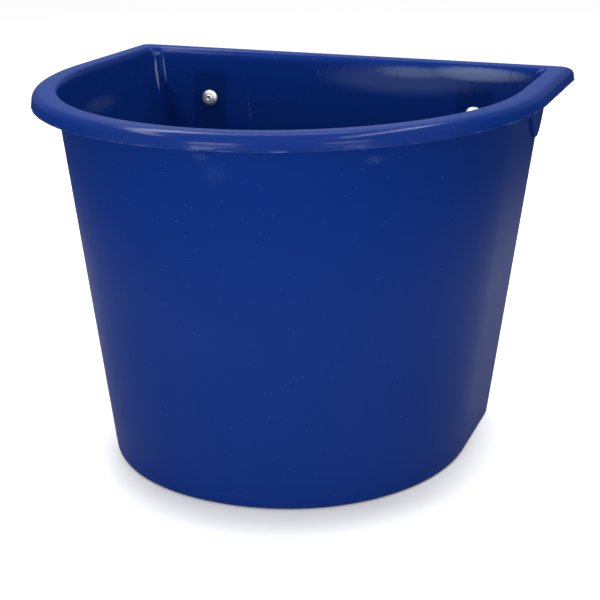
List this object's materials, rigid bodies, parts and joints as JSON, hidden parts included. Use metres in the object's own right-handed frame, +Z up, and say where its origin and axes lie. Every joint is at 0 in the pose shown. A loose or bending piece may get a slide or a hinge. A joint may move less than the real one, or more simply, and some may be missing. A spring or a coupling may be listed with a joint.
{
  "type": "hanging feed manger",
  "caption": "Tapered plastic feed tub, D-shaped in plan with a flat back and a rolled rim, hung on a rail or door by bent steel hooks that swivel on coach bolts.",
  "frame": {"origin": "on the underside of the base, on the middle plane, at the centre of the rounded front half, so the flat back is at +Y and the tub stands on z = 0", "axes": "+Z up, +Y to the flat back and the hooks, +X to the right when the rounded front is looked at, and left pieces on the -X side"},
  "size_m": [0.43, 0.4331, 0.324],
  "materials": {
    "blue_plastic": "glossy injection-moulded polyethylene, deep blue all through, fine scuffs",
    "galvanised_steel": "hot-dip galvanised, dull grey with a faint spangle",
    "zinc_plated_steel": "bright zinc plate, slightly worn",
    "white_nylon": "natural nylon"
  },
  "bodies": {
    "tub": {"trough": "blue_plastic", "left_bolt": "zinc_plated_steel", "right_bolt": "zinc_plated_steel", "left_washer": "zinc_plated_steel", "right_washer": "zinc_plated_steel", "left_nut": "zinc_plated_steel", "right_nut": "zinc_plated_steel", "left_lock_ring": "white_nylon", "right_lock_ring": "white_nylon"},
    "left_hook": {"left_hook": "galvanised_steel"},
    "right_hook": {"right_hook": "galvanised_steel"}
  },
  "joints": [
    {"name": "left_hook_swivel", "type": "hinge", "parent": "tub", "child": "left_hook", "pos_m": [-0.13, 0.11774, 0.278], "axis": [0, 0.9975, -0.0708], "continuous": true},
    {"name": "right_hook_swivel", "type": "hinge", "parent": "tub", "child": "right_hook", "pos_m": [0.13, 0.11774, 0.278], "axis": [0, 0.9975, -0.0708], "continuous": true}
  ]
}
